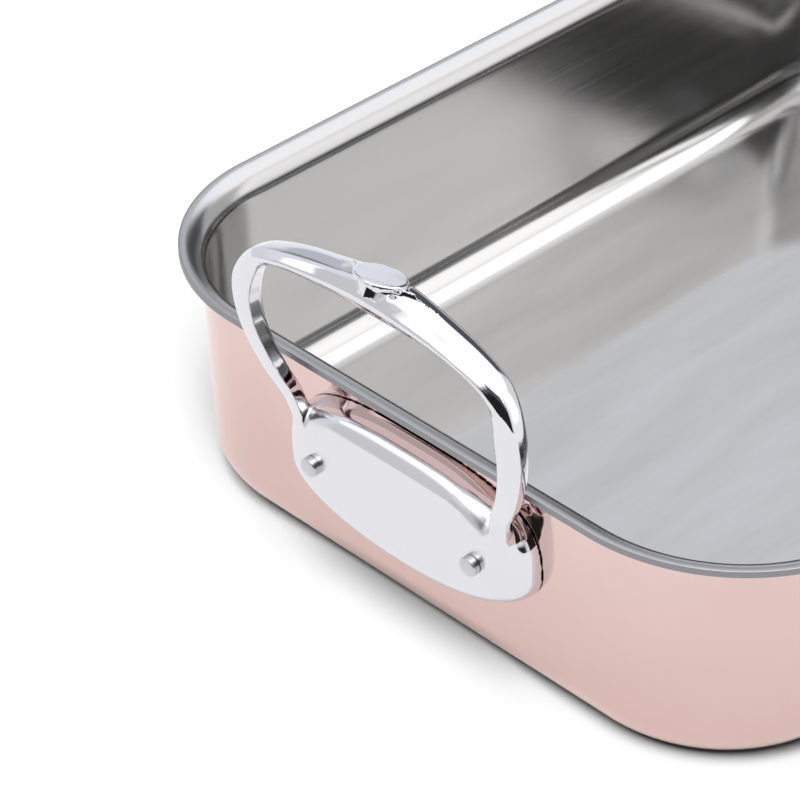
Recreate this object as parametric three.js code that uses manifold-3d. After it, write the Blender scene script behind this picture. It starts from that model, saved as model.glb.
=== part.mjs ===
// A rectangular roasting pan: a deep tray pressed from copper sheet with a stainless lining bonded inside,
// and a cast stainless loop handle riveted to each end wall.
// Millimetres, +Z up. The origin is the middle of the pan's underside, +X runs along the pan's length.
import * as THREE from 'three';
import { mergeVertices } from 'three/addons/utils/BufferGeometryUtils.js';
import Module from 'manifold-3d';

// Pan
const rimLength = 350; // over the lip, along X
const rimWidth = 250; // over the lip, along Y
const panHeight = 76.5; // underside to the top of the lip
const rimCornerRadius = 56.5; // plan radius of the lip's outer edge
const copperThickness = 1.8;
const liningThickness = 0.2;
const bondGap = 0.05; // between the copper and its lining
const wallDraft = THREE.MathUtils.degToRad(2.75); // lean of the walls, out at the top
const baseBendRadius = 14; // outside of the bend between base and wall
const lipBendRadius = 5.8; // underside of the flared lip
const hemWidth = 0.6; // lining dressed over the copper's cut edge

// Handle plate, riveted flat against the end wall
const plateLength = 92; // along Y
const plateRise = 24; // widest line to the top
const plateDrop = 18.9; // widest line to the bottom
const plateBelowLip = 1.4; // start of the lip's bend to the plate's top
const plateTopSquareness = 0.67; // of the plate's upper half: 1 is an oval, less is squarer
const plateThickness = 11.7;
const plateEdgeRadius = 8; // front edge, round the ends and the bottom
const plateTopEdgeRadius = 4.6; // front edge at the top
const plateBackChamfer = 0.5;
const bevelHeight = 4.7; // slope along the plate's top, from its foot to the top
const bevelAngle = THREE.MathUtils.degToRad(46); // slope's lean back from the plate's face

// Handle loop, cast in one with the plate
const rootInset = 8; // plate's end to the middle of a leg's root
const rootRise = 5; // plate's widest line to the root
const rootHeight = 5; // root's section, across the loop and along the wall's normal
const rootDepth = 5.2;
const legSpread = 12; // how far a leg bows out beyond its root
const lipClearance = 4.5; // lip's edge to the top of a leg
const legHeight = 8.2; // section at the top of a leg
const legDepth = 7.4;
const shoulderRadius = 17; // bend from leg to grip, at the section's middle
const shoulderDrop = 2.9; // middle of the grip down to its ends
const shoulderSetBack = 1.4; // top of a leg to the grip's end, towards the wall
const shoulderHeight = 5.2; // section at the ends of the grip
const shoulderDepth = 12;
const gripRise = 78.3; // plate's widest line to the middle of the grip
const gripSetBack = 3.5; // top of a leg to the middle of the grip, towards the wall
const gripHeight = 10; // section at the middle of the grip
const gripDepth = 14.6;
const padLength = 16; // bare oval pad on the grip's crown
const padWidth = 14.6;
const padUndercut = 2.6; // pad's rim to its foot in the grip
const padStand = 6.7; // middle of the grip to the pad's face
const padForward = 2.3; // middle of the grip to the pad's foot, out of the wall
const padTilt = THREE.MathUtils.degToRad(18); // pad's face turned towards the pan
const squareness = 0.75; // of the loop's section: 1 is an oval, less is squarer

// Where the loop passes between two places, as shares of the way out, along and up
const lowerLeg = [0.25, 0.15, 0.3]; // between a root and the top of its leg
const middleLeg = [0.6, 0.65, 0.53];
const upperLeg = [0.89, 0.99, 0.79];
const halfGrip = [0.9, 0.47, 0.46]; // between an end of the grip and its middle

// Rivets
const rivetInset = 15; // plate's end to the rivet
const rivetHeight = 3.4; // above the plate's widest line
const rivetShank = 4.4;
const rivetButton = 5.8; // closed end outside, a short stud
const rivetButtonHeight = 2.6;
const rivetButtonRound = 0.4;
const rivetHead = 12; // low dome inside the pan
const rivetHeadHeight = 2;

const fitGap = 0.3; // between a piece and its seat, and round a shank in its hole
const mergeDistance = 1e-4; // corners closer than this are one
const shortestEdge = 0.02; // shorter edges left by a cut are closed up

// Facets
const cornerSteps = 9; // a quarter turn of the pan in plan
const bendSteps = 5; // a quarter turn of the sheet's bends
const plateSteps = 40; // round the plate
const edgeSteps = 3; // plate's front edge
const stationSteps = 4; // between two stations along the loop
const sectionSteps = 14; // round the loop's section
const padSteps = 24;
const rivetSteps = 18;
const domeSteps = 3; // rivet's inside head, from its middle to its edge

const copper = new THREE.MeshStandardMaterial({ color: 0xe3b7a5, metalness: 1, roughness: 0.12 });
const satinSteel = new THREE.MeshStandardMaterial({ color: 0xc4c3c1, metalness: 1, roughness: 0.22 });
const polishedSteel = new THREE.MeshStandardMaterial({ color: 0xdcdcde, metalness: 1, roughness: 0.06 });
const rivetSteel = new THREE.MeshStandardMaterial({ color: 0xb4b5b6, metalness: 1, roughness: 0.28 });

const wasm = await Module();
wasm.setup();

const sheetThickness = copperThickness + bondGap + liningThickness;
const lipCentre = { u: -hemWidth, z: panHeight - sheetThickness - lipBendRadius };
const wallTop = {
  u: lipCentre.u - lipBendRadius * Math.cos(wallDraft),
  z: lipCentre.z + lipBendRadius * Math.sin(wallDraft),
};

// The outer face of a wall, as an inset u from the rim's edge, at a height z.
function wallInset(z) {
  return wallTop.u - (wallTop.z - z) * Math.tan(wallDraft);
}

const bendTangentZ = baseBendRadius * (1 - Math.sin(wallDraft));
const bendCentre = { u: wallInset(bendTangentZ) - baseBendRadius * Math.cos(wallDraft), z: baseBendRadius };

function arc(centre, radius, from, to, steps) {
  return Array.from({ length: steps + 1 }, (_, i) => {
    const angle = from + ((to - from) * i) / steps;
    return { u: centre.u + radius * Math.cos(angle), z: centre.z + radius * Math.sin(angle) };
  });
}

// One face of the sheet from the flat base out to the lip, at a depth inside the copper's outer face.
function sheetFace(depth) {
  return [
    ...arc(bendCentre, baseBendRadius - depth, -Math.PI / 2, -wallDraft, bendSteps),
    ...arc(lipCentre, lipBendRadius + depth, Math.PI - wallDraft, Math.PI / 2, bendSteps),
  ];
}

// A rounded rectangle in plan, inset by u from the rim's edge, anticlockwise.
function planRing({ u, z }) {
  const radius = rimCornerRadius + u;
  const points = [];
  for (let corner = 0; corner < 4; corner++) {
    const middle = cornerCentre(corner);
    for (let i = 0; i <= cornerSteps; i++) {
      const angle = ((corner + i / cornerSteps) * Math.PI) / 2;
      points.push([middle[0] + radius * Math.cos(angle), middle[1] + radius * Math.sin(angle), z]);
    }
  }
  return points;
}

function cornerCentre(corner) {
  const x = rimLength / 2 - rimCornerRadius;
  const y = rimWidth / 2 - rimCornerRadius;
  return [corner === 0 || corner === 3 ? x : -x, corner < 2 ? y : -y];
}

function geometryOf(points, triangles) {
  const geometry = new THREE.BufferGeometry();
  geometry.setAttribute('position', new THREE.Float32BufferAttribute(points.flat(), 3));
  geometry.setIndex(triangles);
  return geometry;
}

// Triangles between neighbouring rings of equal length, each anticlockwise when seen from the next one.
function joinRings(ringCount, size) {
  const triangles = [];
  for (let r = 0; r + 1 < ringCount; r++) {
    for (let i = 0; i < size; i++) {
      const a = r * size + i;
      const b = r * size + ((i + 1) % size);
      triangles.push(a, b, b + size, a, b + size, a + size);
    }
  }
  return triangles;
}

// A tray whose section runs from the flat of the base, over the lip, to the flat of the floor.
function trayGeometry(section) {
  const rings = section.map(planRing);
  const size = rings[0].length;
  const points = rings.flat();
  const triangles = joinRings(rings.length, size);
  const flats = [
    { first: 0, z: section[0].z, up: false },
    { first: (rings.length - 1) * size, z: section[section.length - 1].z, up: true },
  ];
  for (const flat of flats) {
    const centres = [0, 1, 2, 3].map((corner) => points.push([...cornerCentre(corner), flat.z]) - 1);
    const face = (a, b, c) => triangles.push(...(flat.up ? [a, b, c] : [a, c, b]));
    for (let corner = 0; corner < 4; corner++) {
      const start = flat.first + corner * (cornerSteps + 1);
      for (let i = 0; i < cornerSteps; i++) face(centres[corner], start + i, start + i + 1);
      const next = (corner + 1) % 4;
      const nextStart = flat.first + next * (cornerSteps + 1);
      face(centres[corner], start + cornerSteps, nextStart);
      face(centres[corner], nextStart, centres[next]);
    }
    face(centres[0], centres[1], centres[2]);
    face(centres[0], centres[2], centres[3]);
  }
  return geometryOf(points, triangles);
}

function copperTray() {
  return trayGeometry([...sheetFace(0), ...sheetFace(copperThickness).reverse()]);
}

// The lining covers the copper's inner face and wraps its cut edge, so its edge is as thick as the sheet.
function liningTray() {
  const hemInner = bondGap - hemWidth;
  const edge = [
    { u: hemInner, z: panHeight - liningThickness },
    { u: hemInner, z: panHeight - sheetThickness },
    { u: 0, z: panHeight - sheetThickness },
    { u: 0, z: panHeight },
  ];
  const bonded = sheetFace(copperThickness + bondGap);
  return trayGeometry([...bonded, ...edge, ...sheetFace(sheetThickness).reverse()]);
}

// A closed mesh as a solid that can be joined and cut.
function solid(geometry) {
  const bare = geometry.clone();
  bare.deleteAttribute('normal');
  bare.deleteAttribute('uv');
  const merged = mergeVertices(bare, mergeDistance);
  return new wasm.Manifold(
    new wasm.Mesh({
      numProp: 3,
      vertProperties: merged.attributes.position.array,
      triVerts: new Uint32Array(merged.index.array),
    }),
  );
}

// Closes up the very short edges that a cut leaves where facets nearly meet.
function withoutSlivers(points, triangles) {
  for (;;) {
    const edge = shortEdge(points, triangles);
    if (!edge) return triangles;
    const [kept, lost] = edge;
    triangles = triangles
      .map((corners) => corners.map((corner) => (corner === lost ? kept : corner)))
      .filter(([a, b, c]) => a !== b && b !== c && c !== a);
  }
}

// A very short edge whose ends share just the two corners beside it, so that closing it leaves a closed body.
function shortEdge(points, triangles) {
  const besides = (corner) => new Set(triangles.filter((t) => t.includes(corner)).flat());
  for (const corners of triangles) {
    for (let k = 0; k < 3; k++) {
      const [a, b] = [corners[k], corners[(k + 1) % 3]];
      if (points[a].distanceTo(points[b]) > shortestEdge) continue;
      const near = besides(b);
      const shared = [...besides(a)].filter((corner) => corner !== a && corner !== b && near.has(corner));
      if (shared.length === 2) return [a, b];
    }
  }
  return null;
}

function meshOf(name, made, material) {
  const { vertProperties, triVerts } = made.getMesh();
  const positions = new THREE.BufferAttribute(vertProperties, 3);
  const points = Array.from({ length: positions.count }, (_, i) => {
    return new THREE.Vector3().fromBufferAttribute(positions, i);
  });
  const triangles = Array.from({ length: triVerts.length / 3 }, (_, i) => {
    return [...triVerts.slice(3 * i, 3 * i + 3)];
  });
  const geometry = new THREE.BufferGeometry();
  geometry.setAttribute('position', positions);
  geometry.setIndex(withoutSlivers(points, triangles).flat());
  geometry.computeVertexNormals();
  const mesh = new THREE.Mesh(geometry, material);
  mesh.name = name;
  return mesh;
}

// A handle's own frame: x out of the wall's outer face, y along the rim and z up the wall, from the middle
// of the plate's widest line.
const plateMiddleHeight = wallTop.z - plateBelowLip - plateRise;
const wallX = rimLength / 2 + wallInset(plateMiddleHeight);
const handleFrame = new THREE.Matrix4()
  .makeRotationY(wallDraft)
  .setPosition(wallX, 0, plateMiddleHeight);
const plateFace = fitGap + plateThickness;
const legStandOff = -wallTop.u + lipClearance + legDepth / 2;
const gripStandOff = legStandOff - gripSetBack;
const ends = [
  { name: 'left', turn: Math.PI },
  { name: 'right', turn: 0 },
];
const rivetSides = [
  { name: 'front', y: rivetInset - plateLength / 2 },
  { name: 'back', y: plateLength / 2 - rivetInset },
];

// A lathed piece whose profile runs along the wall's normal at a rivet's place.
function latheOutOfWall(profile, y) {
  const points = profile.map(([radius, along]) => new THREE.Vector2(radius, along));
  return new THREE.LatheGeometry(points, rivetSteps).rotateZ(-Math.PI / 2).translate(0, y, rivetHeight);
}

function rivetHole(y) {
  const radius = rivetShank / 2 + fitGap;
  const inside = -sheetThickness - rivetHeadHeight;
  const outside = plateFace + rivetButtonHeight;
  return latheOutOfWall([[0, inside], [radius, inside], [radius, outside], [0, outside]], y);
}

// A low dome inside the pan, a shank through the sheet and the plate, and a short stud closed over the plate.
function rivetGeometry(y) {
  const shank = rivetShank / 2;
  const button = rivetButton / 2;
  const headSeat = -sheetThickness - fitGap;
  const buttonSeat = plateFace + fitGap;
  const buttonEnd = plateFace + rivetButtonHeight;
  const dome = Array.from({ length: domeSteps + 1 }, (_, i) => {
    const angle = (i / domeSteps) * (Math.PI / 2);
    return [(rivetHead / 2) * Math.sin(angle), headSeat - rivetHeadHeight * Math.cos(angle)];
  });
  return latheOutOfWall(
    [
      ...dome,
      [shank, headSeat],
      [shank, buttonSeat],
      [button, buttonSeat],
      [button, buttonEnd - rivetButtonRound],
      [button - rivetButtonRound, buttonEnd],
      [0, buttonEnd],
    ],
    y,
  );
}

// The plate: an oval slab with a rounded front edge.
function plateGeometry() {
  const edgeTurns = Array.from({ length: edgeSteps + 1 }, (_, i) => (i / edgeSteps) * (Math.PI / 2));
  const section = [
    () => ({ inset: plateBackChamfer, x: fitGap }),
    () => ({ inset: 0, x: fitGap + plateBackChamfer }),
    ...edgeTurns.map((turn) => (radius) => ({
      inset: radius * (1 - Math.cos(turn)),
      x: plateFace - radius * (1 - Math.sin(turn)),
    })),
  ];
  const points = section.flatMap((place) =>
    Array.from({ length: plateSteps }, (_, i) => {
      const angle = (i / plateSteps) * 2 * Math.PI;
      const upper = Math.sin(angle) > 0;
      const share = upper ? Math.sin(angle) : 0;
      const { inset, x } = place(THREE.MathUtils.lerp(plateEdgeRadius, plateTopEdgeRadius, share));
      const reach = upper ? plateRise : plateDrop;
      const power = upper ? plateTopSquareness : 1;
      const y = (plateLength / 2 - inset) * squarish(Math.cos(angle), power);
      const z = (reach - inset) * squarish(Math.sin(angle), power);
      return [x, y, z];
    }),
  );
  const triangles = joinRings(section.length, plateSteps);
  closeRings(points, triangles, plateSteps);
  return geometryOf(points, triangles);
}

// Fans a closing point into the first and the last ring.
function closeRings(points, triangles, size) {
  const middleOf = (first) => {
    const ring = points.slice(first, first + size);
    return [0, 1, 2].map((k) => ring.reduce((sum, p) => sum + p[k], 0) / size);
  };
  const lastRing = points.length - size;
  const bottom = points.push(middleOf(0)) - 1;
  const top = points.push(middleOf(lastRing)) - 1;
  for (let i = 0; i < size; i++) {
    const j = (i + 1) % size;
    triangles.push(bottom, j, i, top, lastRing + i, lastRing + j);
  }
}

// The wedge that the slope along the plate's top takes off its front.
function bevelWedge() {
  const foot = plateRise - bevelHeight;
  const reach = 2 * bevelHeight;
  const outline = new THREE.Shape();
  outline.moveTo(plateFace, foot);
  outline.lineTo(plateFace + plateThickness, foot);
  outline.lineTo(plateFace + plateThickness, foot + reach);
  outline.lineTo(plateFace - reach * Math.tan(bevelAngle), foot + reach);
  const wedge = new THREE.ExtrudeGeometry(outline, { depth: plateLength, bevelEnabled: false });
  return wedge.rotateX(Math.PI / 2).translate(0, plateLength / 2, 0);
}

// Stations along one side of the loop, from inside the plate to the middle of the grip. Each holds the
// middle of the section, as distance out of the wall, along the rim and up from the plate's widest line,
// and then the section's height and depth.
function loopSide() {
  const rootAlong = plateLength / 2 - rootInset;
  const legAlong = rootAlong + legSpread;
  const root = [fitGap + plateThickness / 2, rootAlong, rootRise, rootHeight, rootDepth];
  const legRise = gripRise - shoulderDrop - shoulderRadius;
  const legTop = [legStandOff, legAlong, legRise, legHeight, legDepth];
  const crown = [gripStandOff, 0, gripRise, gripHeight, gripDepth];
  const shoulder = (turn) => [
    legStandOff - shoulderSetBack * Math.sin(turn),
    legAlong - shoulderRadius * (1 - Math.cos(turn)),
    legRise + shoulderRadius * Math.sin(turn),
    THREE.MathUtils.lerp(legHeight, shoulderHeight, Math.sin(turn)),
    THREE.MathUtils.lerp(legDepth, shoulderDepth, Math.sin(turn)),
  ];
  const shoulders = [8, 45, 84].map((degrees) => shoulder(THREE.MathUtils.degToRad(degrees)));
  const between = (from, to, shares) =>
    from.map((value, k) => THREE.MathUtils.lerp(value, to[k], shares[Math.min(k, 2)]));
  return [
    root,
    between(root, legTop, lowerLeg),
    between(root, legTop, middleLeg),
    between(root, legTop, upperLeg),
    ...shoulders,
    between(shoulders[2], crown, halfGrip),
    crown,
  ];
}

// A rounded-square section swept along the loop.
function loopGeometry() {
  const side = loopSide();
  const otherSide = side.slice(0, -1).map(([out, along, ...rest]) => [out, -along, ...rest]);
  const stations = [...side, ...otherSide.reverse()];
  const middles = new THREE.CatmullRomCurve3(stations.map(([x, y, z]) => new THREE.Vector3(x, y, z)));
  const sections = new THREE.CatmullRomCurve3(stations.map(([, , , height, depth]) => {
    return new THREE.Vector3(height, depth, 0);
  }));
  const steps = (stations.length - 1) * stationSteps;
  const wallNormal = new THREE.Vector3(1, 0, 0);
  const points = [];
  for (let i = 0; i <= steps; i++) {
    const middle = middles.getPoint(i / steps);
    const tangent = middles.getTangent(i / steps);
    const section = sections.getPoint(i / steps);
    const outward = new THREE.Vector3().crossVectors(tangent, wallNormal).normalize();
    const across = new THREE.Vector3().crossVectors(tangent, outward);
    for (let k = 0; k < sectionSteps; k++) {
      const angle = (k / sectionSteps) * 2 * Math.PI;
      const a = (section.x / 2) * squarish(Math.cos(angle), squareness);
      const b = (section.y / 2) * squarish(Math.sin(angle), squareness);
      points.push(middle.clone().addScaledVector(outward, a).addScaledVector(across, b).toArray());
    }
  }
  const triangles = joinRings(steps + 1, sectionSteps);
  closeRings(points, triangles, sectionSteps);
  return geometryOf(points, triangles);
}

function squarish(value, power) {
  return Math.sign(value) * Math.abs(value) ** power;
}

// The bare oval pad on the grip's crown.
function padGeometry() {
  const pad = new THREE.CylinderGeometry(padWidth / 2, padWidth / 2 - padUndercut, padStand, padSteps);
  return pad
    .rotateX(Math.PI / 2)
    .translate(0, 0, padStand / 2)
    .scale(1, padLength / padWidth, 1)
    .rotateY(-padTilt)
    .translate(gripStandOff + padForward, 0, gripRise);
}

const holes = rivetSides.map(({ y }) => rivetHole(y));

function handleSolid() {
  const plate = solid(plateGeometry()).subtract(solid(bevelWedge()));
  const casting = plate.add(solid(loopGeometry())).add(solid(padGeometry()));
  return holes.reduce((made, hole) => made.subtract(solid(hole)), casting);
}

// The holes that the rivets take through a tray's end walls.
function pierced(tray) {
  let made = solid(tray);
  for (const { turn } of ends) {
    const place = new THREE.Matrix4().makeRotationZ(turn).multiply(handleFrame);
    for (const hole of holes) made = made.subtract(solid(hole.clone().applyMatrix4(place)));
  }
  return made;
}

const roastingPan = new THREE.Group();
roastingPan.name = 'roasting_pan';
roastingPan.add(meshOf('copper_body', pierced(copperTray()), copper));
roastingPan.add(meshOf('steel_lining', pierced(liningTray()), satinSteel));

const handle = handleSolid();
for (const end of ends) {
  const endGroup = new THREE.Group();
  endGroup.rotation.z = end.turn;
  const onWall = new THREE.Group();
  onWall.applyMatrix4(handleFrame);
  onWall.add(meshOf(`${end.name}_handle`, handle, polishedSteel));
  for (const side of rivetSides) {
    const rivet = solid(rivetGeometry(side.y));
    onWall.add(meshOf(`${end.name}_${side.name}_rivet`, rivet, rivetSteel));
  }
  endGroup.add(onWall);
  roastingPan.add(endGroup);
}

export default roastingPan;
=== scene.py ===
"""A copper roasting pan with a stainless lining and two cast loop handles, dressed for a studio picture.

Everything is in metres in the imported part's own frame: +Z up, +X along the pan, the origin on the table
under the pan's middle.
"""

import math

import bmesh
import bpy
import numpy as np
from mathutils import Matrix, Vector


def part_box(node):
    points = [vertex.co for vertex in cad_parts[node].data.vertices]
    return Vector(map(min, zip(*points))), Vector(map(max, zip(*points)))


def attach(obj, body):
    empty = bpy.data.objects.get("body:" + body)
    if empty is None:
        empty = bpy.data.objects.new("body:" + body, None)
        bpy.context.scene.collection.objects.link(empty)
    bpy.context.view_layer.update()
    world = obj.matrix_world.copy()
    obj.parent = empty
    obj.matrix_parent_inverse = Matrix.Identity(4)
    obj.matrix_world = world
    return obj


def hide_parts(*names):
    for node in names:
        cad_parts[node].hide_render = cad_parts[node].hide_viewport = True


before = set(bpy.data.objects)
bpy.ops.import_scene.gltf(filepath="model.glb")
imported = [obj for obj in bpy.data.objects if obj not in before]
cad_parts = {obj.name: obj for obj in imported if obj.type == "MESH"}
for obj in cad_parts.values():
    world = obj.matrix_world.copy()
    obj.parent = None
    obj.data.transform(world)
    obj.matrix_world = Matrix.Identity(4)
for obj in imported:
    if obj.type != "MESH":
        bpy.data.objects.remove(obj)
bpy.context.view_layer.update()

# Copper tray
# The outside of the pan is one blank of copper sheet, pressed into a deep tray with drawn corners and a
# flared lip, then buffed to a mirror. Its cut edge is hidden under the lining.
mm = 0.001
lining_low, lining_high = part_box("steel_lining")
rim_length = lining_high.x - lining_low.x
rim_width = lining_high.y - lining_low.y
pan_height = lining_high.z
rim_corner = 56.5 * mm
copper_thickness = 1.8 * mm
bond = 0.05 * mm
lining_thickness = 0.2 * mm
sheet_thickness = copper_thickness + bond + lining_thickness
wall_lean = math.radians(2.75)
base_bend = 14 * mm
lip_bend = 5.8 * mm
hem = rim_length / 2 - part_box("copper_body")[1].x
lip_middle = Vector((-hem, pan_height - sheet_thickness - lip_bend))
wall_top = lip_middle + lip_bend * Vector((-math.cos(wall_lean), math.sin(wall_lean)))


def wall_inset(height):
    """How far the wall's outer face stands in from the rim at a height."""
    return wall_top.x - (wall_top.y - height) * math.tan(wall_lean)


bend_height = base_bend * (1 - math.sin(wall_lean))
bend_middle = Vector((wall_inset(bend_height) - base_bend * math.cos(wall_lean), base_bend))


def arc(middle, radius, start, stop, steps):
    """Points on a bend of the section, from one angle to another in degrees."""
    angles = np.linspace(math.radians(start), math.radians(stop), steps + 1)
    return [(middle[0] + radius * math.cos(a), middle[1] + radius * math.sin(a)) for a in angles]


def sheet_face(depth):
    """One face of the sheet, from the flat of the base out over the lip.

    The depth is measured in from the copper's outside.
    """
    lean = math.degrees(wall_lean)
    bend_steps, lip_steps, flat_piece = 22, 18, 1.5 * mm
    wall_shares = (0.03, 0.25, 0.5, 0.75, 0.97)
    bend = arc(bend_middle, base_bend - depth, -90, -lean, bend_steps)
    lip = arc(lip_middle, lip_bend + depth, 180 - lean, 90, lip_steps)
    flat = (bend[0][0] - flat_piece, bend[0][1])
    wall = [np.add(bend[-1], np.subtract(lip[0], bend[-1]) * share) for share in wall_shares]
    return [flat, *bend, *(tuple(point) for point in wall), *lip]


def tree_socket(tree, name, kind, way="INPUT"):
    return tree.interface.new_socket(name, in_out=way, socket_type=f"NodeSocket{kind}")


corner_steps, rim_step = 48, 2.4 * mm


def drawn_tray_tree():
    """A section of sheet carried round a rounded rectangle, as a pressed tray's section is."""
    tree = bpy.data.node_groups.new("drawn tray", "GeometryNodeTree")
    tree_socket(tree, "Section", "Geometry")
    tree_socket(tree, "Rim length", "Float")
    tree_socket(tree, "Rim width", "Float")
    tree_socket(tree, "Corner radius", "Float")
    tree_socket(tree, "Step", "Float")
    tree_socket(tree, "Finish", "Material")
    tree_socket(tree, "Tray", "Geometry", "OUTPUT")
    add, link = tree.nodes.new, tree.links.new
    sizes, result = add("NodeGroupInput"), add("NodeGroupOutput")
    rim = add("GeometryNodeCurvePrimitiveQuadrilateral")
    link(sizes.outputs["Rim length"], rim.inputs["Width"])
    link(sizes.outputs["Rim width"], rim.inputs["Height"])
    corners = add("GeometryNodeFilletCurve")
    corners.mode = "POLY"
    corners.inputs["Count"].default_value = corner_steps
    link(rim.outputs["Curve"], corners.inputs["Curve"])
    link(sizes.outputs["Corner radius"], corners.inputs["Radius"])
    fine = add("GeometryNodeResampleCurve")
    fine.mode = "LENGTH"
    link(corners.outputs["Curve"], fine.inputs["Curve"])
    link(sizes.outputs["Step"], fine.inputs["Length"])
    upright = add("GeometryNodeSetCurveNormal")
    upright.mode = "Z_UP"
    link(fine.outputs["Curve"], upright.inputs["Curve"])
    sweep = add("GeometryNodeCurveToMesh")
    link(upright.outputs["Curve"], sweep.inputs["Curve"])
    link(sizes.outputs["Section"], sweep.inputs["Profile Curve"])
    whole = add("GeometryNodeRealizeInstances")
    link(sweep.outputs["Mesh"], whole.inputs["Geometry"])
    finish = add("GeometryNodeSetMaterial")
    link(whole.outputs["Geometry"], finish.inputs["Geometry"])
    link(sizes.outputs["Finish"], finish.inputs["Material"])
    link(finish.outputs["Geometry"], result.inputs["Tray"])
    return tree


def plain_mesh(maker, tree, values, name):
    """What a tree of geometry nodes makes of an object, as a plain mesh.

    The object that it came from is removed.
    """
    modifier = maker.modifiers.new("maker", "NODES")
    modifier.node_group = tree
    for socket in tree.interface.items_tree:
        if socket.item_type == "SOCKET" and socket.in_out == "INPUT" and socket.name in values:
            modifier[socket.identifier] = values[socket.name]
    graph = bpy.context.evaluated_depsgraph_get()
    mesh = bpy.data.meshes.new_from_object(maker.evaluated_get(graph), depsgraph=graph)
    maker.modifiers.remove(modifier)
    bpy.data.objects.remove(maker)
    mesh.name = name
    piece = bpy.data.objects.new(name, mesh)
    bpy.context.scene.collection.objects.link(piece)
    return piece


def section_line(name, section):
    """An object that holds a section as a line, from pairs of a place across and a height."""
    line = bpy.data.curves.new(name + " section", "CURVE")
    line.dimensions = "3D"
    spline = line.splines.new("POLY")
    spline.points.add(len(section) - 1)
    for point, (across, height) in zip(spline.points, section):
        point.co = (across, -height, 0, 1)
    maker = bpy.data.objects.new(name + " maker", line)
    bpy.context.scene.collection.objects.link(maker)
    return maker


tray_tree = drawn_tray_tree()


def drawn_tray(name, section, finish):
    """A closed tray: the section carried round the rim, with its two flats filled."""
    values = {
        "Rim length": rim_length,
        "Rim width": rim_width,
        "Corner radius": rim_corner,
        "Step": rim_step,
        "Finish": finish,
    }
    piece = plain_mesh(section_line(name, section), tray_tree, values, name)
    shell = bmesh.new()
    shell.from_mesh(piece.data)
    bmesh.ops.remove_doubles(shell, verts=shell.verts, dist=0.001 * mm)
    for face in shell.faces:
        face.smooth = True
    rims = [edge for edge in shell.edges if edge.is_boundary]
    for height in sorted({round(edge.verts[0].co.z / mm, 3) for edge in rims}):
        flat = [edge for edge in rims if round(edge.verts[0].co.z / mm, 3) == height]
        bmesh.ops.triangle_fill(shell, edges=flat, use_beauty=True)
    bmesh.ops.recalc_face_normals(shell, faces=shell.faces)
    shell.to_mesh(piece.data)
    shell.free()
    return piece


def metal(name, colour, roughness):
    """A bare metal. Its nodes drive colour and roughness; the plain values serve where nodes aren't read."""
    made = bpy.data.materials.new(name)
    made.use_nodes = True
    shader = made.node_tree.nodes["Principled BSDF"]
    shader.inputs["Base Color"].default_value = (*colour, 1)
    shader.inputs["Metallic"].default_value = 1
    shader.inputs["Roughness"].default_value = roughness
    return made, made.node_tree, shader


def node(tree, kind, **settings):
    """A shader node with its sockets set by name."""
    made = tree.nodes.new("ShaderNode" + kind)
    for name, value in settings.items():
        made.inputs[name.replace("_", " ")].default_value = value
    return made


def own_place(tree, scale):
    """The piece's own coordinates, stretched."""
    place = node(tree, "TexCoord")
    stretch = node(tree, "Mapping", Scale=scale)
    tree.links.new(place.outputs["Object"], stretch.inputs["Vector"])
    return stretch.outputs["Vector"]


def noise(tree, vector, scale, detail=3.0):
    """Soft random tones from 0 to 1."""
    made = node(tree, "TexNoise", Scale=scale, Detail=detail)
    tree.links.new(vector, made.inputs["Vector"])
    return made.outputs["Fac"]


def spread(tree, value, low, high, start=0.0, stop=1.0):
    """A value carried from one range to another."""
    made = node(tree, "MapRange", From_Min=start, From_Max=stop, To_Min=low, To_Max=high)
    tree.links.new(value, made.inputs["Value"])
    return made.outputs["Result"]


def two_tones(tree, value, first, second):
    """A colour on the way from one tone to another; each is three numbers or a socket."""
    made = node(tree, "Mix")
    made.data_type = "RGBA"
    for socket, tone in zip(made.inputs[6:8], (first, second)):
        if isinstance(tone, tuple):
            socket.default_value = (*tone, 1)
        else:
            tree.links.new(tone, socket)
    tree.links.new(value, made.inputs["Factor"])
    return made.outputs[2]


def maths(tree, work, first, second=0.0, third=0.0):
    """A sum on up to three values, each a number or a socket."""
    made = node(tree, "Math")
    made.operation = work
    for socket, value in zip(made.inputs, (first, second, third)):
        if isinstance(value, (int, float)):
            socket.default_value = value
        else:
            tree.links.new(value, socket)
    return made.outputs["Value"]


def fade(tree, value, start, stop):
    """A soft step from 0 to 1."""
    made = node(tree, "MapRange", From_Min=start, From_Max=stop)
    made.interpolation_type = "SMOOTHSTEP"
    tree.links.new(value, made.inputs["Value"])
    return made.outputs["Result"]


def bumps(tree, shader, value, deep):
    """Small heights on a surface, given as a value of 0 to 1 and the height that 1 stands for."""
    made = node(tree, "Bump", Strength=1.0, Distance=deep)
    tree.links.new(value, made.inputs["Height"])
    tree.links.new(made.outputs["Normal"], shader.inputs["Normal"])


copper, nodes, shader = metal("mirror copper", (0.70, 0.52, 0.49), 0.06)
even = own_place(nodes, (1, 1, 1))
place = node(nodes, "SeparateXYZ")
nodes.links.new(even, place.inputs["Vector"])
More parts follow.
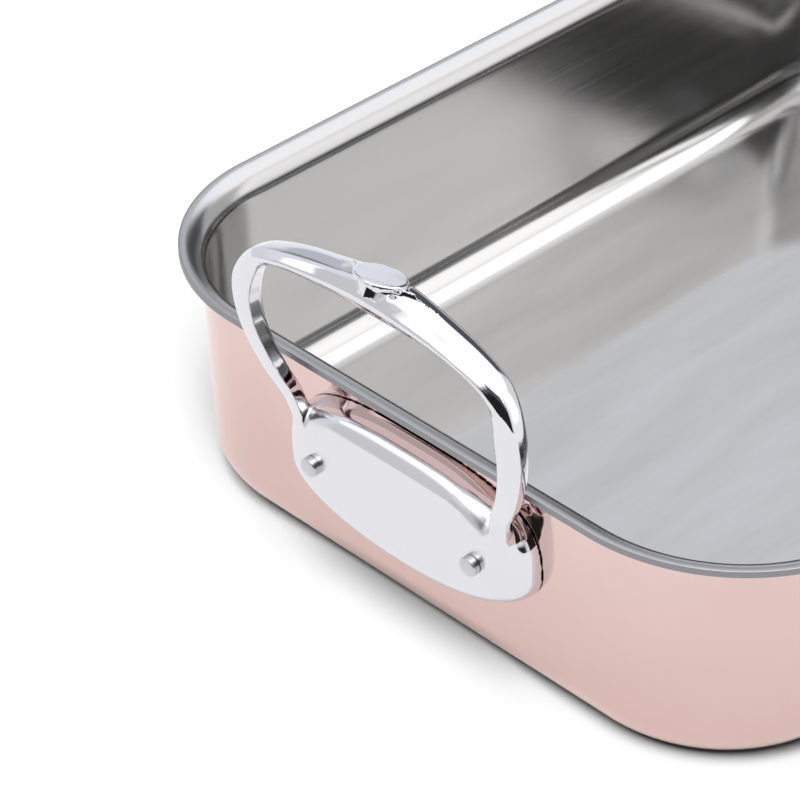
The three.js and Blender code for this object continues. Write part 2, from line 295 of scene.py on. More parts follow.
# Painted shade: the copper's colour darkens towards the foot of the wall, standing in for the shadowed table
# that the lower wall mirrors. The noise adds random tone at every height.
bright_copper, deep_and_shaded_copper = (0.80, 0.61, 0.585), (0.61, 0.41, 0.37)
painted_shade_low_down = spread(nodes, place.outputs["Z"], 0.55, 0.0, 0.0, pan_height)
tone = maths(nodes, "MULTIPLY_ADD", noise(nodes, even, 22), 0.45, painted_shade_low_down)
nodes.links.new(two_tones(nodes, tone, bright_copper, deep_and_shaded_copper), shader.inputs["Base Color"])
nodes.links.new(spread(nodes, noise(nodes, even, 60, 5), 0.045, 0.10), shader.inputs["Roughness"])
pits = spread(nodes, noise(nodes, even, 420, 2), 0.0, 1.0, 0.24, 0.32)
waves = maths(nodes, "MULTIPLY", noise(nodes, even, 14, 1), 2.2)
pit_depth = 0.012 * mm
bumps(nodes, shader, maths(nodes, "ADD", pits, waves), pit_depth)

copper_section = [*sheet_face(0), *reversed(sheet_face(copper_thickness))]
copper_tray = drawn_tray("copper_tray", copper_section, copper)
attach(copper_tray, "root")
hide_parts("copper_body")

# Steel lining
# A thin stainless sheet is bonded to the copper before the tray is pressed, so it follows the copper's inner
# face everywhere. It is satin polished inside, and dressed over the copper's cut edge at the lip.
def blend(tree, first, second, share):
    """A value on the way from one to another, each a number or a socket."""
    made = node(tree, "Mix")
    for name, value in (("A", first), ("B", second), ("Factor", share)):
        if isinstance(value, (int, float)):
            made.inputs[name].default_value = value
        else:
            tree.links.new(value, made.inputs[name])
    return made.outputs["Result"]


steel, nodes, shader = metal("satin stainless", (0.50, 0.495, 0.49), 0.14)
place = node(nodes, "SeparateXYZ")
nodes.links.new(own_place(nodes, (1, 1, 1)), place.inputs["Vector"])
bright_steel, grey_steel, cut_edge_and_lip_shade_steel = (0.535, 0.53, 0.53), (0.465, 0.46, 0.45), (0.30, 0.29, 0.30)
lip_finish, cut_finish, line_depth = 0.2, 0.45, 0.006 * mm
half_length = rim_length / 2
on_lip = fade(nodes, place.outputs["Z"], pan_height - 7 * mm, pan_height - 5 * mm)
from_middle = maths(nodes, "ABSOLUTE", place.outputs["X"])
on_end = fade(nodes, from_middle, half_length - 24 * mm, half_length - 18 * mm)
on_floor = fade(nodes, place.outputs["Z"], 6 * mm, 3 * mm)
long_lines = noise(nodes, own_place(nodes, (7, 800, 800)), 1, 4)
cross_lines = noise(nodes, own_place(nodes, (800, 7, 800)), 1, 4)
lines = blend(nodes, long_lines, cross_lines, on_end)
cloud = noise(nodes, own_place(nodes, (12, 80, 80)), 1, 4)
patches = blend(nodes, 0.5, spread(nodes, cloud, 0.0, 1.0, 0.3, 0.7), on_floor)
cut_edge = node(nodes, "Attribute")
cut_edge.attribute_name = "cut_edge"
cut = cut_edge.outputs["Fac"]
sheet = two_tones(nodes, patches, bright_steel, grey_steel)
# The cut edge is a darker, rough steel. The lip is pulled part way to that tone as painted shade, which dims
# its bright reflection.
cut_edge_and_painted_lip_shade = maths(nodes, "MAXIMUM", cut, maths(nodes, "MULTIPLY", on_lip, 0.4))
nodes.links.new(two_tones(nodes, cut_edge_and_painted_lip_shade, sheet, cut_edge_and_lip_shade_steel), shader.inputs["Base Color"])
satin = maths(nodes, "ADD", spread(nodes, lines, 0.09, 0.18), spread(nodes, cloud, 0.0, 0.07))
satin = maths(nodes, "MULTIPLY", satin, spread(nodes, on_floor, 1.0, 0.58))
satin = blend(nodes, satin, lip_finish, on_lip)
nodes.links.new(blend(nodes, satin, cut_finish, cut), shader.inputs["Roughness"])
fine_lines = blend(nodes, maths(nodes, "MULTIPLY", lines, 0.25), lines, on_floor)
bumps(nodes, shader, blend(nodes, fine_lines, 0.1, on_lip), line_depth)

edge_round, edge_steps = 0.12 * mm, 4
hem_inner = bond - hem
under = pan_height - sheet_thickness
lining_section = [
    *sheet_face(copper_thickness + bond),
    (hem_inner, pan_height - lining_thickness),
    (hem_inner, under),
    *arc((-edge_round, under + edge_round), edge_round, -90, 0, edge_steps),
    *arc((-edge_round, pan_height - edge_round), edge_round, 0, 90, edge_steps),
    *reversed(sheet_face(sheet_thickness)),
]
lining = drawn_tray("steel_lining_sheet", lining_section, steel)
places = np.array([point.co for point in lining.data.vertices])
beyond = np.abs(places[:, :2]) - (np.array([rim_length, rim_width]) / 2 - rim_corner)
past_rim = np.linalg.norm(np.maximum(beyond, 0), axis=1) + np.minimum(beyond.max(axis=1), 0)
past_rim -= rim_corner
edge_band, edge_top = 0.11 * mm, 0.05 * mm
at_edge = (past_rim > -edge_band) & (places[:, 2] < pan_height - edge_top)
marks = lining.data.attributes.new("cut_edge", "FLOAT", "POINT")
marks.data.foreach_set("value", at_edge.astype(float))
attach(lining, "root")
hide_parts("steel_lining")

# Handle castings
# Each handle is one stainless casting, polished, with a softer buff on its oval plate. The plate lies on the
# end wall and slopes along its top, and a squarish loop grows out of it, with an oval pad on its crown.

# Sizes of the casting are in millimetres: t out of the wall, y along it and z up it, from the plate's middle.
# A station of the loop is t, y and z with the bar's height and depth there.
seat = 0.3
plate_half, plate_rise, plate_drop, plate_face = 46.4, 24.0, 19.3, 12.0
plate_crown, plate_edge, plate_top_edge = 1.4, 10.4, 4.6
plate_top_power, plate_foot_power = 3.0, 2.08
plate_below_lip = 1.4
slope_foot, slope_lean, slope_drop, slope_edge = 19.3, math.radians(39.5), 0.5, 1.2
plate_middle = wall_top.y / mm - plate_below_lip - plate_rise
wall_reach = (rim_length / 2 + wall_inset(plate_middle * mm)) / mm
rivet_side, rivet_rise, rivet_hole = 31.0, 3.4, 2.5
root = (6.15, 38.0, 5.0, 5.0, 5.2)
leg_top = (14.6, 50.0, 58.4, 8.2, 7.4)
crown = (11.1, 0.0, 78.3, 10.0, 14.6)
shoulder_bend, shoulder_tuck, shoulder_thinner, shoulder_deeper = 17.0, 1.4, 3.0, 4.6


def between(first, last, shares):
    """A station part of the way from one to another: shares of the way out, along and up."""
    return tuple(a + (b - a) * shares[min(k, 2)] for k, (a, b) in enumerate(zip(first, last)))


def shoulder(degrees):
    """A station on the bend from a leg into the grip, where the bar turns from upright to flat."""
    turn = math.radians(degrees)
    turned = math.sin(turn)
    out, along, rise, high, deep = leg_top
    out -= shoulder_tuck * turned
    along -= shoulder_bend * (1 - math.cos(turn))
    rise += shoulder_bend * turned
    high -= shoulder_thinner * turned
    deep += shoulder_deeper * turned
    return out, along, rise, high, deep


side_stations = [
    root,
    between(root, leg_top, (0.25, 0.15, 0.30)),
    between(root, leg_top, (0.60, 0.65, 0.53)),
    between(root, leg_top, (0.89, 0.99, 0.79)),
    shoulder(8),
    shoulder(45),
    shoulder(84),
    between(shoulder(84), crown, (0.9, 0.47, 0.46)),
    crown,
]


loop_step, loop_softness, loop_past_crown = 0.5, 2.5, 6.0


def smooth_line(stations):
    """Even, softened steps along one side of the loop and a little past its crown."""
    stretch_steps, window_half = 60, 15
    mirrored = [(s[0], -s[1], *s[2:]) for s in reversed(stations[:-1])]
    rows = np.array([*stations, *mirrored])
    rows = np.vstack([2 * rows[0] - rows[1], rows, 2 * rows[-1] - rows[-2]])
    fine = []
    for a, b, c, d in zip(rows, rows[1:], rows[2:], rows[3:]):
        gaps = [max(np.linalg.norm(q[:3] - p[:3]), 1e-6) ** 0.5 for p, q in ((a, b), (b, c), (c, d))]
        leave = ((b - a) / gaps[0] - (c - a) / (gaps[0] + gaps[1]) + (c - b) / gaps[1]) * gaps[1]
        reach = ((c - b) / gaps[1] - (d - b) / (gaps[1] + gaps[2]) + (d - c) / gaps[2]) * gaps[1]
        share = np.linspace(0, 1, stretch_steps, endpoint=False)[:, None]
        bow = 3 * c - 3 * b - 2 * leave - reach
        turn = 2 * b - 2 * c + leave + reach
        fine.append(b + leave * share + bow * share**2 + turn * share**3)
    fine = np.vstack([*fine, rows[-2:-1]])
    travel = np.concatenate([[0], np.cumsum(np.linalg.norm(np.diff(fine[:, :3], axis=0), axis=1))])
    even = np.arange(0, travel[-1], loop_step)
    line = np.stack([np.interp(even, travel, fine[:, k]) for k in range(5)], axis=1)
    window = np.exp(-0.5 * (np.arange(-window_half, window_half + 1) * loop_step / loop_softness) ** 2)
    window /= window.sum()
    before = line[0] + (line[0] - line[window_half:0:-1])
    after = line[-1] + (line[-1] - line[-2:-window_half - 2:-1])
    padded = np.vstack([before, line, after])
    line = np.stack([np.convolve(padded[:, k], window, mode="valid") for k in range(5)], axis=1)
    past_crown = int(np.argmax(line[:, 1] < -loop_past_crown))
    return line[:past_crown]


loop = smooth_line(side_stations)
loop_along = np.gradient(loop[:, :3], axis=0)
loop_along /= np.linalg.norm(loop_along, axis=1)[:, None]


def round_max(first, second, width):
    """The larger of two distances, with the edge between them rounded over a width."""
    overlap = np.maximum(width - np.abs(first - second), 0)
    return np.maximum(first, second) + overlap**2 / (4 * width)


def round_min(first, second, width):
    """The smaller of two distances, with the corner between them filled over a width."""
    return -round_max(-first, -second, width)


crisp_foot, crisp_rise, crisp_end, crisp_fade = 2.0, 14.0, 38.0, 16.0
crown_stop = 1.3


def plate_distance(t, y, z):
    """Signed distance to the plate: an oval with a soft crown, a rounded edge and the slope along its top.

    The edge is crisper in the middle of the top than round the ends and the foot.
    """
    power = np.where(z > 0, plate_top_power, plate_foot_power)
    reach = np.where(z > 0, plate_rise, plate_drop)
    across, upward = np.abs(y) / plate_half + 1e-6, np.abs(z) / reach + 1e-6
    ring = (across**power + upward**power) ** (1 / power)
    slant = np.hypot(across ** (power - 1) / plate_half, upward ** (power - 1) / reach)
    steep = ring ** (1 - power) * slant
    crisp = np.clip((z - crisp_foot) / crisp_rise, 0, 1)
    crisp = crisp * np.clip((crisp_end - np.abs(y)) / crisp_fade, 0, 1)
    edge = plate_edge + (plate_top_edge - plate_edge) * crisp
    outline = (ring - 1) / steep + edge
    front = t - plate_face + plate_crown * np.minimum(ring, crown_stop) ** 2 + edge
    outside = np.hypot(np.maximum(outline, 0), np.maximum(front, 0))
    body = outside + np.minimum(np.maximum(outline, front), 0) - edge
    slope = (t - plate_face + slope_drop) * math.cos(slope_lean) + (z - slope_foot) * math.sin(slope_lean)
    return round_max(body, slope, slope_edge)


grip_turn, search_batch = 0.6, 40000


def loop_distance(t, y, z):
    """Signed distance to the loop: upright flat-faced legs that turn into a flat grip with a sloped front."""
    place = np.stack([t, np.abs(y), z], axis=-1)
    found = np.empty(len(place))
    middle_terms = (loop[:, :3] ** 2).sum(axis=1)
    for start in range(0, len(place), search_batch):
        part = place[start:start + search_batch]
        found[start:start + search_batch] = np.argmin(middle_terms - 2 * part @ loop[:, :3].T, axis=1)
    rows = np.arange(len(loop))

    def read_along(table):
        """The loop's values at the places found on it."""
        return np.stack([np.interp(found, rows, column) for column in table.T], axis=1)

    for _ in range(2):
        ahead = ((place - read_along(loop)[:, :3]) * read_along(loop_along)).sum(axis=1)
        found = np.clip(found + ahead / loop_step, 0, len(loop) - 1)
    middle, along = read_along(loop), read_along(loop_along)
    along /= np.linalg.norm(along, axis=1)[:, None]
    out = np.array([1.0, 0, 0]) - along * along[:, :1]
    out /= np.linalg.norm(out, axis=1)[:, None]
    away = np.cross(along, out)
    offset = place - middle[:, :3]
    deep, high = middle[:, 4] / 2, middle[:, 3] / 2
    a = (offset * out).sum(axis=1)
    b = (offset * away).sum(axis=1)
    turned = np.clip(away[:, 2] / grip_turn, 0, 1)
    level = turned**2 * (3 - 2 * turned)

    def corner(leg, grip):
        """A corner of the section, moved from its place on a leg to its place on the grip."""
        halves = (deep, high)
        return [(first + (last - first) * level) * half for first, last, half in zip(leg, grip, halves)]

    def face(first, last):
        """Signed distance to the flat between two corners of the section."""
        rise, run = first[1] - last[1], last[0] - first[0]
        return ((a - first[0]) * rise + (b - first[1]) * run) / np.hypot(rise, run)

    corners = [
        corner((-0.60, 1.0), (-0.55, 1.0)),
        corner((0.84, 0.97), (0.50, 0.97)),
        corner((0.98, 0.70), (0.98, 0.10)),
        corner((0.96, -0.97), (0.62, -0.97)),
        corner((-0.60, -1.0), (-0.50, -1.0)),
        corner((-1.0, -0.25), (-1.0, -0.25)),
        corner((-1.0, 0.25), (-1.0, 0.25)),
    ]
    edge_widths = [1.0 - 0.2 * level, 2.4 - 1.2 * level, 0.7 + 0.5 * level, 1.6, 2.4, 2.4]
    section = face(corners[0], corners[1])
    for first, last, width in zip(corners[1:], [*corners[2:], corners[0]], edge_widths):
        section = round_max(section, face(first, last), width)
    behind = -(place - loop[0, :3]) @ loop_along[0]
    return np.maximum(section, behind)


pad_middle, pad_tilt, pad_half, pad_deep = (11.35, 84.7), math.radians(18), 8.0, 7.1
pad_thick, pad_edge, pad_overhang = 1.4, 0.8, 1.4
neck_half, neck_deep, neck_foot, neck_top, neck_fillet = pad_half - pad_overhang, 4.2, 76.0, 0.8, 0.8


def pad_rise(t, z):
    """How far a point stands above the pad's face, square to it."""
    return (z - pad_middle[1]) * math.cos(pad_tilt) - (t - pad_middle[0]) * math.sin(pad_tilt)


def oval_edge(y, across, long_half, short_half):
    """Signed distance to the edge of an oval, near enough close to it."""
    ring = np.hypot(y / long_half, across / short_half) + 1e-6
    return ring * (ring - 1) / np.hypot(y / long_half**2, across / short_half**2).clip(1e-7)


def pad_distance(t, y, z):
    """Signed distance to the pad, a thin oval disc on a short oval neck."""
    rise = pad_rise(t, z)
    across = (t - pad_middle[0]) * math.cos(pad_tilt) + (z - pad_middle[1]) * math.sin(pad_tilt)
    disc = round_max(oval_edge(y, across, pad_half, pad_deep), rise, pad_edge)
    disc = np.maximum(disc, -rise - pad_thick)
    neck = np.maximum(oval_edge(y, t - pad_middle[0], neck_half, neck_deep), rise + neck_top)
    return round_min(disc, np.maximum(neck, neck_foot - z), neck_fillet)


boss_middle, boss_half = np.array([11.4, 0, 78.8]), np.array([5.4, 15.0, 4.4])
prow_front, prow_way = (17.5, 82.4), np.array([0.785, 0.453, 0.42])
prow_foot, prow_back, prow_top, prow_fillet = 80.9, 10.0, 0.9, 0.6


def boss_distance(t, y, z):
    """Signed distance to the swelling that carries the pad, with a prow at its front."""
    place = np.stack([t, y, z], axis=-1) - boss_middle
    ring = np.linalg.norm(place / boss_half, axis=-1) + 1e-6
    swelling = ring * (ring - 1) / np.linalg.norm(place / boss_half**2, axis=-1).clip(1e-3)
    prow = (t - prow_front[0]) * prow_way[0] + np.abs(y) * prow_way[1] + (z - prow_front[1]) * prow_way[2]
    under_pad = pad_rise(t, z) + prow_top
    prow = np.maximum(prow, np.maximum(under_pad, prow_foot - z))
    return round_min(swelling, np.maximum(prow, prow_back - t), prow_fillet)


root_fillet, boss_fillet, pad_fillet = 3.0, 1.0, 1.3


def casting_distance(t, y, z):
    """Signed distance to the whole casting, with its rivet holes and its flat back."""
    body = round_min(plate_distance(t, y, z), loop_distance(t, y, z), root_fillet)
    body = round_min(body, boss_distance(t, y, z), boss_fillet)
    body = round_min(body, pad_distance(t, y, z), pad_fillet)
    hole = rivet_hole - np.hypot(np.abs(y) - rivet_side, z - rivet_rise)
    return np.maximum(np.maximum(body, hole), seat - t)


cell, coarse, close_cells = 0.5, 4, 1.6
casting_low, casting_high = np.array([-0.6, 0, -24.0]), np.array([21.5, 57.0, 88.0])


def casting_grid():
    """Signed distances on a grid round the casting: rough ones, then true ones near the skin.

    They are worked out on one side of the casting's middle and mirrored to the other.
    """
    counts = np.ceil((casting_high - casting_low) / cell).astype(int) + 1
    axes = [casting_low[k] + cell * np.arange(counts[k]) for k in range(3)]
    axes[1] = axes[1] + cell / 2
    picks = [axis[::coarse] for axis in axes]
    rough_at = np.stack(np.meshgrid(*picks, indexing="ij"), axis=-1).reshape(-1, 3)
    rough = casting_distance(*rough_at.T).reshape([len(axis) for axis in picks])
    near = []
    for pick, count in zip(picks, counts):
        nearest = np.round(np.arange(count) / coarse).astype(int)
        near.append(np.minimum(nearest, len(pick) - 1))
    values = rough[np.ix_(*near)].copy()
    close = np.abs(values) < coarse * cell * close_cells
    where = np.argwhere(close)
    values[close] = casting_distance(*(axes[k][where[:, k]] for k in range(3)))
    values = np.concatenate([values[:, ::-1], values], axis=1)
    axes[1] = np.concatenate([-axes[1][::-1], axes[1]])
    return axes, values


def cell_points(axes, values):
    """A point in each cell that the skin passes through, and the cells' numbers.

    The point is the mean of the places where the cell's edges cross the skin.
    """
    shape = np.array(values.shape) - 1
    total, crossed = np.zeros((*shape, 3)), np.zeros(shape)
    for axis in range(3):
        others = [k for k in range(3) if k != axis]
        for shift in ((0, 0), (0, 1), (1, 0), (1, 1)):
            first = [slice(None)] * 3
            first[axis] = slice(0, shape[axis])
            for k, s in zip(others, shift):
                first[k] = slice(s, s + shape[k])
            second = list(first)
            second[axis] = slice(1, shape[axis] + 1)
            one, two = values[tuple(first)], values[tuple(second)]
            cut = (one < 0) != (two < 0)
            share = np.where(cut, one / np.where(cut, one - two, 1), 0)
            crossed += cut
            total[..., axis] += share
            for k, s in zip(others, shift):
                total[..., k] += np.where(cut, s, 0)
    used = crossed > 0
    number = -np.ones(shape, int)
    number[used] = np.arange(used.sum())
    cells = np.argwhere(used)
    share = total[used] / crossed[used][:, None]
    return np.stack([axes[k][cells[:, k]] + share[:, k] * cell for k in range(3)], axis=1), number


def cell_faces(inside, number):
    """A four-sided face for each edge of the grid that crosses the skin, between the four cells round it."""
    shape = np.array(inside.shape) - 1
    faces = []
    for axis in range(3):
        others = [(axis + 1) % 3, (axis + 2) % 3]
        first = [slice(1, shape[k]) for k in range(3)]
        first[axis] = slice(0, shape[axis])
        second = list(first)
        second[axis] = slice(1, shape[axis] + 1)
        one, two = inside[tuple(first)], inside[tuple(second)]
        for flip, cut in ((False, one & ~two), (True, ~one & two)):
            at = np.argwhere(cut)
            corner = at + 1
            corner[:, axis] = at[:, axis]
            quad = []
            for s0, s1 in ((-1, -1), (0, -1), (0, 0), (-1, 0)):
                beside = corner.copy()
                beside[:, others[0]] += s0
                beside[:, others[1]] += s1
                quad.append(number[tuple(beside.T)])
            quad = np.stack(quad, axis=1)
            faces.append(quad[:, ::-1] if flip else quad)
    return np.concatenate(faces)


def steepest(points, feel=0.03):
    """The distance at each point and how it grows along the three axes."""
    here = casting_distance(*points.T)
    ahead = [casting_distance(*(points + feel * step).T) - here for step in np.eye(3)]
    return here, np.stack(ahead, axis=1) / feel


def casting_skin():
    """The casting's skin as points, outward directions and four-sided faces."""
    least_slope, longest_step = 0.2, 0.4
    axes, values = casting_grid()
    points, number = cell_points(axes, values)
    faces = cell_faces(values < 0, number)
    for _ in range(2):
        here, rise = steepest(points)
        step = here / np.maximum((rise**2).sum(axis=1), least_slope)
        points = points - np.clip(step, -longest_step, longest_step)[:, None] * rise
    _, rise = steepest(points)
    return points, rise / np.linalg.norm(rise, axis=1)[:, None], faces


handle_steel, nodes, shader = metal("polished casting", (0.76, 0.76, 0.79), 0.05)
even = own_place(nodes, (1, 1, 1))
bright_casting, grey_casting = (0.77, 0.77, 0.80), (0.735, 0.735, 0.77)
cast_depth = 0.03 * mm
tone = two_tones(nodes, noise(nodes, even, 40), bright_casting, grey_casting)
nodes.links.new(tone, shader.inputs["Base Color"])
flat_face = node(nodes, "Attribute")
flat_face.attribute_name = "flat_face"
buffed = spread(nodes, noise(nodes, even, 150, 4), 0.14, 0.24)
polished = spread(nodes, noise(nodes, even, 90, 4), 0.03, 0.07)
satin = maths(nodes, "MULTIPLY", flat_face.outputs["Fac"], buffed)
nodes.links.new(maths(nodes, "ADD", satin, polished), shader.inputs["Roughness"])
bumps(nodes, shader, noise(nodes, even, 60, 2), cast_depth)
skin_points, skin_rise, skin_faces = casting_skin()
buff_facing, buff_fade, buff_depth, buff_top, buff_height = 0.35, 0.4, 3.0, 26.0, 8.0
looks_out = np.clip((skin_rise[:, 0] - buff_facing) / buff_fade, 0, 1)
on_plate = (skin_points[:, 0] > buff_depth) * np.clip((buff_top - skin_points[:, 2]) / buff_height, 0, 1)
skin_flat = looks_out * on_plate
skin_frame = Matrix.Translation((wall_reach, 0, plate_middle)) @ Matrix.Rotation(wall_lean, 4, "Y")
for end, turn in (("left", math.pi), ("right", 0)):
    placing = np.array(Matrix.Rotation(turn, 4, "Z") @ skin_frame)
    mesh = bpy.data.meshes.new(f"{end}_handle_casting")
    places = (skin_points @ placing[:3, :3].T + placing[:3, 3]) * mm
    mesh.from_pydata(places.tolist(), [], skin_faces.tolist())
    mesh.shade_smooth()
    mesh.normals_split_custom_set_from_vertices((skin_rise @ placing[:3, :3].T).tolist())
    mesh.attributes.new("flat_face", "FLOAT", "POINT").data.foreach_set("value", skin_flat)
    mesh.materials.append(handle_steel)
    casting = bpy.data.objects.new(f"{end}_handle_casting", mesh)
    bpy.context.scene.collection.objects.link(casting)
    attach(casting, "root")
    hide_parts(f"{end}_handle")

# Rivets
# Two stainless rivets hold each handle. Each has a low dome inside the pan, a shank through the sheet and the
# plate, and a short stud outside with a slightly rounded end.
rivet_steel, nodes, shader = metal("closed rivet steel", (0.58, 0.58, 0.59), 0.2)
even = own_place(nodes, (1, 1, 1))
dark_rivet, light_rivet = (0.50, 0.50, 0.51), (0.66, 0.66, 0.67)
peen_depth = 0.02 * mm
tone = two_tones(nodes, noise(nodes, even, 300), dark_rivet, light_rivet)
nodes.links.new(tone, shader.inputs["Base Color"])
nodes.links.new(spread(nodes, noise(nodes, even, 500, 4), 0.14, 0.28), shader.inputs["Roughness"])
bumps(nodes, shader, noise(nodes, even, 700, 3), peen_depth)
stud, stud_end, stud_round = 3.0, plate_face + 1.6, 0.6
stud_seat, stud_straight, stud_turn = plate_face - 0.5, plate_face + 0.7, 1.35
dome_half, dome_foot, dome_top = 1.5, stud_end + 0.12, stud_end + 0.16
shank, head, head_deep = 2.2, 6.0, 2.0
head_seat = -sheet_thickness / mm - seat
head_steps, stud_steps, round_steps = 14, 8, 48
lathe_radius, pole_merge = 0.01 * mm, 0.03 * mm
rivet_section = [
    *(
        (head * math.sin(a), head_seat - head_deep * math.cos(a))
        for a in np.linspace(0, math.pi / 2, head_steps)
    ),
    (shank, head_seat),
    (shank, stud_seat),
    (stud, stud_seat),
    (stud, stud_straight),
    *(
        (stud - stud_round * (1 - math.cos(a)), stud_end - stud_round * (1 - math.sin(a)))
        for a in np.linspace(0, stud_turn, stud_steps)
    ),
    (dome_half, dome_foot),
    (0.0, dome_top),
]


def rivets_tree():
    """A lathed rivet set twice along the plate, leant with the wall, at both ends of the pan."""
    tree = bpy.data.node_groups.new("rivets", "GeometryNodeTree")
    tree_socket(tree, "Section", "Geometry")
    tree_socket(tree, "Side", "Float")
    tree_socket(tree, "Rise", "Float")
    tree_socket(tree, "Lean", "Float")
    tree_socket(tree, "Wall place", "Vector")
    tree_socket(tree, "Finish", "Material")
    tree_socket(tree, "Rivets", "Geometry", "OUTPUT")
    add, link = tree.nodes.new, tree.links.new
    sizes, result = add("NodeGroupInput"), add("NodeGroupOutput")
    ring = add("GeometryNodeCurvePrimitiveCircle")
    ring.inputs["Resolution"].default_value = round_steps
    ring.inputs["Radius"].default_value = lathe_radius
    upright = add("GeometryNodeSetCurveNormal")
    upright.mode = "Z_UP"
    link(ring.outputs["Curve"], upright.inputs["Curve"])
    lathe = add("GeometryNodeCurveToMesh")
    link(upright.outputs["Curve"], lathe.inputs["Curve"])
    link(sizes.outputs["Section"], lathe.inputs["Profile Curve"])
    closed = add("GeometryNodeMergeByDistance")
    closed.inputs["Distance"].default_value = pole_merge
    link(lathe.outputs["Mesh"], closed.inputs["Geometry"])
    outward = add("GeometryNodeTransform")
    outward.inputs["Rotation"].default_value = (0, math.pi / 2, 0)
    link(closed.outputs["Geometry"], outward.inputs["Geometry"])
    near_side = add("ShaderNodeCombineXYZ")
    far_step = add("ShaderNodeCombineXYZ")
    minus = add("ShaderNodeMath")
    minus.operation = "MULTIPLY"
    minus.inputs[1].default_value = -1
    double = add("ShaderNodeMath")
    double.operation = "MULTIPLY"
    double.inputs[1].default_value = 2
    link(sizes.outputs["Side"], minus.inputs[0])
    link(sizes.outputs["Side"], double.inputs[0])
    link(minus.outputs["Value"], near_side.inputs["Y"])
    link(sizes.outputs["Rise"], near_side.inputs["Z"])
    link(double.outputs["Value"], far_step.inputs["Y"])
    pair = add("GeometryNodeMeshLine")
    pair.inputs["Count"].default_value = 2
    link(near_side.outputs["Vector"], pair.inputs["Start Location"])
    link(far_step.outputs["Vector"], pair.inputs["Offset"])
    set_in = add("GeometryNodeInstanceOnPoints")
    link(pair.outputs["Mesh"], set_in.inputs["Points"])
    link(outward.outputs["Geometry"], set_in.inputs["Instance"])
    lean = add("ShaderNodeCombineXYZ")
    link(sizes.outputs["Lean"], lean.inputs["Y"])
    on_wall = add("GeometryNodeTransform")
    link(set_in.outputs["Instances"], on_wall.inputs["Geometry"])
    link(lean.outputs["Vector"], on_wall.inputs["Rotation"])
    link(sizes.outputs["Wall place"], on_wall.inputs["Translation"])
    other_end = add("GeometryNodeTransform")
    other_end.inputs["Rotation"].default_value = (0, 0, math.pi)
    link(on_wall.outputs["Geometry"], other_end.inputs["Geometry"])
    both = add("GeometryNodeJoinGeometry")
    link(on_wall.outputs["Geometry"], both.inputs["Geometry"])
    link(other_end.outputs["Geometry"], both.inputs["Geometry"])
    whole = add("GeometryNodeRealizeInstances")
    link(both.outputs["Geometry"], whole.inputs["Geometry"])
    finish = add("GeometryNodeSetMaterial")
    link(whole.outputs["Geometry"], finish.inputs["Geometry"])
    link(sizes.outputs["Finish"], finish.inputs["Material"])
    link(finish.outputs["Geometry"], result.inputs["Rivets"])
    return tree


rivet_line = section_line("rivet", [(radius * mm, along * mm) for radius, along in rivet_section])
rivet_values = {
    "Side": rivet_side * mm,
    "Rise": rivet_rise * mm,
    "Lean": wall_lean,
    "Wall place": (wall_reach * mm, 0, plate_middle * mm),
    "Finish": rivet_steel,
}
rivets = plain_mesh(rivet_line, rivets_tree(), rivet_values, "rivets")
sharp_angle = math.radians(40)
shell = bmesh.new()
shell.from_mesh(rivets.data)
bmesh.ops.recalc_face_normals(shell, faces=shell.faces)
for face in shell.faces:
    face.smooth = True
for edge in shell.edges:
    edge.smooth = edge.calc_face_angle(0) < sharp_angle
shell.to_mesh(rivets.data)
shell.free()
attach(rivets, "root")
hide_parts("left_front_rivet", "left_back_rivet", "right_front_rivet", "right_back_rivet")

# Studio
# The pan stands on a matt white table in a pale room. Soft light and dark cards stand round it for the metal
# to mirror, the table is lit from over the camera, and the camera looks down on one end of the pan.
table = bpy.data.meshes.new("table")
reach, table_drop = 4.0, 0.2 * mm
corners = [(-reach, -reach, 0), (reach, -reach, 0), (reach, reach, 0), (-reach, reach, 0)]
table.from_pydata(corners, [], [(0, 1, 2, 3)])
white = bpy.data.materials.new("white table")
white.use_nodes = True
shader = white.node_tree.nodes["Principled BSDF"]
shader.inputs["Base Color"].default_value = (0.97, 0.97, 0.97, 1)
shader.inputs["Roughness"].default_value = 1
shader.inputs["Specular IOR Level"].default_value = 0
table.materials.append(white)
floor = bpy.data.objects.new("table", table)
floor.location.z = -table_drop
bpy.context.scene.collection.objects.link(floor)

world = bpy.data.worlds.new("white studio")
bpy.context.scene.world = world
world.use_nodes = True
sky = world.node_tree
way = node(sky, "TexCoord").outputs["Generated"]
parts = node(sky, "SeparateXYZ")
sky.links.new(way, parts.inputs["Vector"])
degrees = 180 / math.pi
height = maths(sky, "MULTIPLY", maths(sky, "ARCSINE", parts.outputs["Z"]), degrees)
turned = maths(sky, "ARCTAN2", parts.outputs["Y"], parts.outputs["X"])
bearing = maths(sky, "MULTIPLY", turned, degrees)
low_room, high_room, room_edge = 0.85, 1.35, (35, 39)
room = blend(sky, low_room, high_room, fade(sky, height, *room_edge))

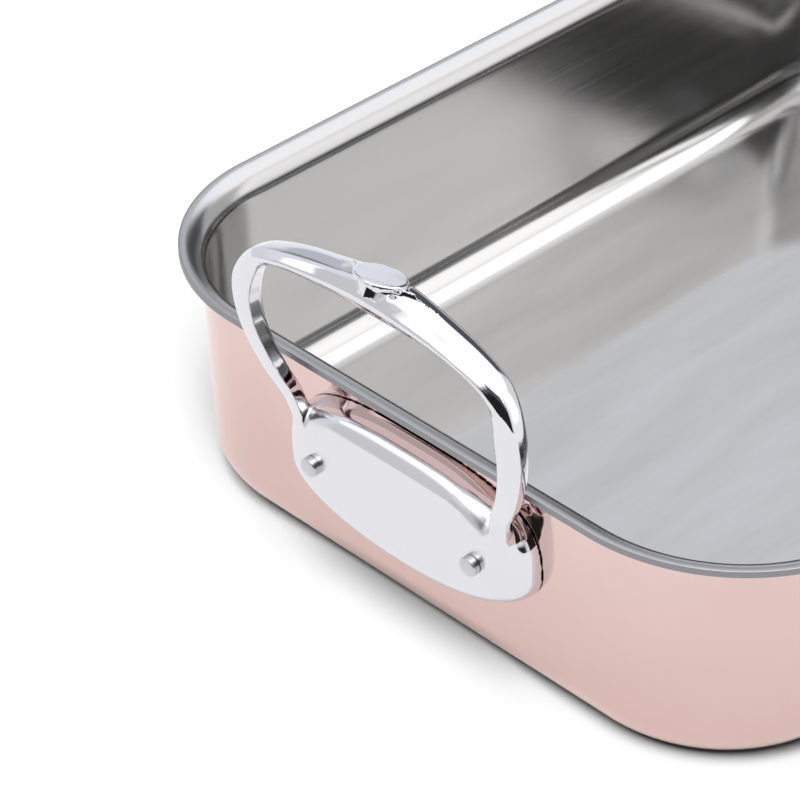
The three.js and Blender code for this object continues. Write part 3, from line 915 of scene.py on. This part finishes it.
# A card is its bearing and height in the room, half its width and height, the softness of its edge, all in
# degrees, and its tone, where 1 is white.
cards = [
    (-15, 53, 52, 18, 5, 2.1),
    (55, 29, 22, 11, 4, 0.62),
    (41, 36, 7, 7, 3, 1.05),
    (18, 22, 16, 13, 3, 0.10),
    (18, 3, 14, 8, 3, 0.28),
    (48, 5, 11, 11, 4, 1.0),
    (73, 38, 13, 8, 4, 0.32),
    (102, 33, 20, 13, 4, 0.92),
    (98, 52, 20, 6, 3, 0.46),
    (138, 34, 18, 6, 2, 1.35),
    (140, 11, 18, 18.5, 1.5, 0.73),
    (169, 8, 14, 13, 4, 0.65),
    (-55, 20, 22, 26, 5, 1.07),
    (-47, 25, 10, 20, 4, 2.0),
    (-135, 14, 42, 18, 4, 0.02),
    (-135, 38, 32, 10, 4, 0.1),
]
for turn, rise, wide, high, soft, level in cards:
    beside = maths(sky, "ABSOLUTE", maths(sky, "SUBTRACT", bearing, turn))
    above = maths(sky, "ABSOLUTE", maths(sky, "SUBTRACT", height, rise))
    in_width = fade(sky, beside, wide + soft, wide - soft)
    in_height = fade(sky, above, high + soft, high - soft)
    room = blend(sky, room, level, maths(sky, "MULTIPLY", in_width, in_height))

# The table has a soft lamp of its own, which the metal doesn't mirror. What the metal would throw onto the
# table from the room is nearly taken away, so that no bright spots lie in the shadow. A pair of numbers is
# where an edge of the lamp starts and where it is whole, in degrees.
lamp_bearing, lamp_side, lamp_foot, lamp_top = -154, (40, 20), (44, 50), (88, 80)
lamp_level, room_level, shadow_level = 13.2, 0.08, 0.02
path = node(sky, "LightPath")
round_lamp = maths(sky, "WRAP", maths(sky, "SUBTRACT", bearing, lamp_bearing), 180, -180)
beside = maths(sky, "ABSOLUTE", round_lamp)
lamp = maths(sky, "MULTIPLY", fade(sky, height, *lamp_foot), fade(sky, height, *lamp_top))
lamp = maths(sky, "MULTIPLY", fade(sky, beside, *lamp_side), lamp)
table_light = maths(sky, "MULTIPLY_ADD", lamp, lamp_level, room_level)
light = blend(sky, table_light, room, path.outputs["Is Glossy Ray"])
off_table = maths(sky, "MINIMUM", path.outputs["Diffuse Depth"], 1.0)
glint = maths(sky, "SUBTRACT", off_table, path.outputs["Is Diffuse Ray"])
light = blend(sky, light, shadow_level, glint)
light = blend(sky, light, 1.0, path.outputs["Is Camera Ray"])
sky.links.new(light, sky.nodes["Background"].inputs["Strength"])
cool_bearing, cool_side, plain_white, cool_white = 60, (70, 50), (1, 1, 1), (0.97, 1.0, 1.06)
off_side = maths(sky, "ABSOLUTE", maths(sky, "SUBTRACT", bearing, cool_bearing))
cool = maths(sky, "MULTIPLY", fade(sky, off_side, *cool_side), path.outputs["Is Glossy Ray"])
sky.links.new(two_tones(sky, cool, plain_white, cool_white), sky.nodes["Background"].inputs["Color"])

lens = bpy.data.cameras.new("camera")
lens.sensor_width = 36
lens.lens = 164.52
camera = bpy.data.objects.new("camera", lens)
heading, pitch, roll = math.radians(45.0253), math.radians(-36.2635), math.radians(0.2226)
stand = Matrix.Translation((-0.73633, -0.56116, 0.66532))
aim = Matrix.Rotation(heading - math.pi / 2, 4, "Z") @ Matrix.Rotation(pitch + math.pi / 2, 4, "X")
camera.matrix_world = stand @ aim @ Matrix.Rotation(roll, 4, "Z")
bpy.context.scene.collection.objects.link(camera)
bpy.context.scene.camera = camera
bpy.context.scene.view_settings.view_transform = "Standard"
